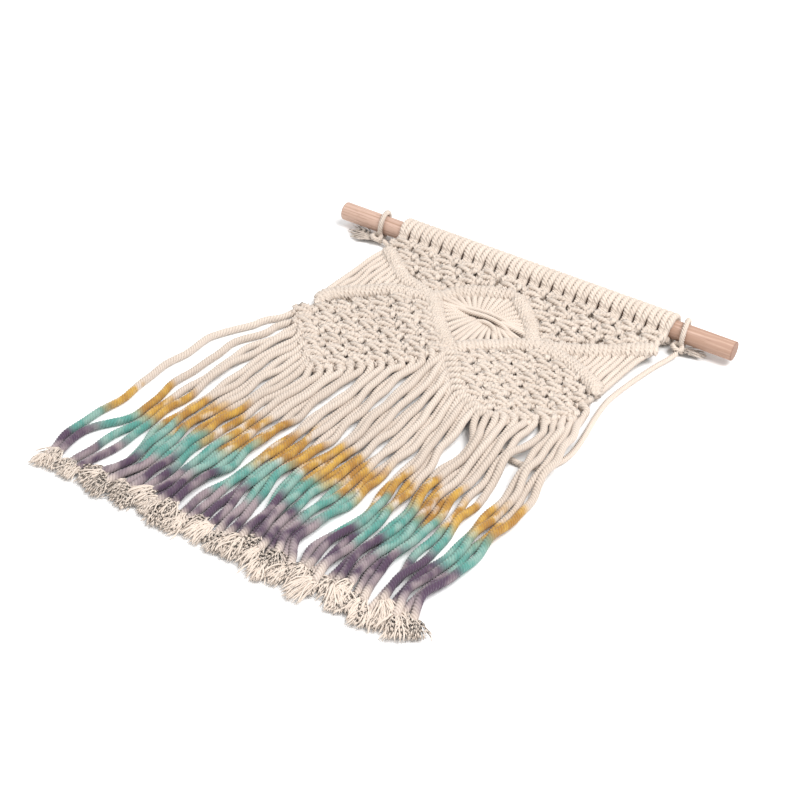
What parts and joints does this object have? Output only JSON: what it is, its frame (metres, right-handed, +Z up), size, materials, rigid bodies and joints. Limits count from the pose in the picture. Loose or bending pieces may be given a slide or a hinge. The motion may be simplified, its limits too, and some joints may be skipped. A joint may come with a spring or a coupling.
{
  "type": "macrame wall hanging and dowel rod",
  "caption": "Knotted cotton wall hanging with a pointed hem and a long dip-dyed fringe, on a round wooden dowel with a thin hanging cord, laid flat on a surface.",
  "frame": {"origin": "on the surface that the hanging lies on, in the middle of the ground that the rod and the cloth cover", "axes": "+X along the rod, +Y from the fringe towards the rod, +Z up off the surface"},
  "size_m": [0.3, 0.365, 0.022],
  "materials": {
    "dowel": "bare sanded beech",
    "heading": "natural cotton cord",
    "panel": "natural cotton cord",
    "fringe_left": "natural cotton cord, dip-dyed ochre, teal and purple",
    "fringe_right": "natural cotton cord, dip-dyed ochre, teal and purple",
    "tie_left": "natural cotton cord",
    "tie_right": "natural cotton cord",
    "hanging_cord": "natural cotton cord"
  },
  "bodies": {
    "root": {"dowel": "dowel", "heading": "heading", "panel": "panel", "fringe_left": "fringe_left", "fringe_right": "fringe_right", "tie_left": "tie_left", "tie_right": "tie_right", "hanging_cord": "hanging_cord"}
  },
  "joints": []
}
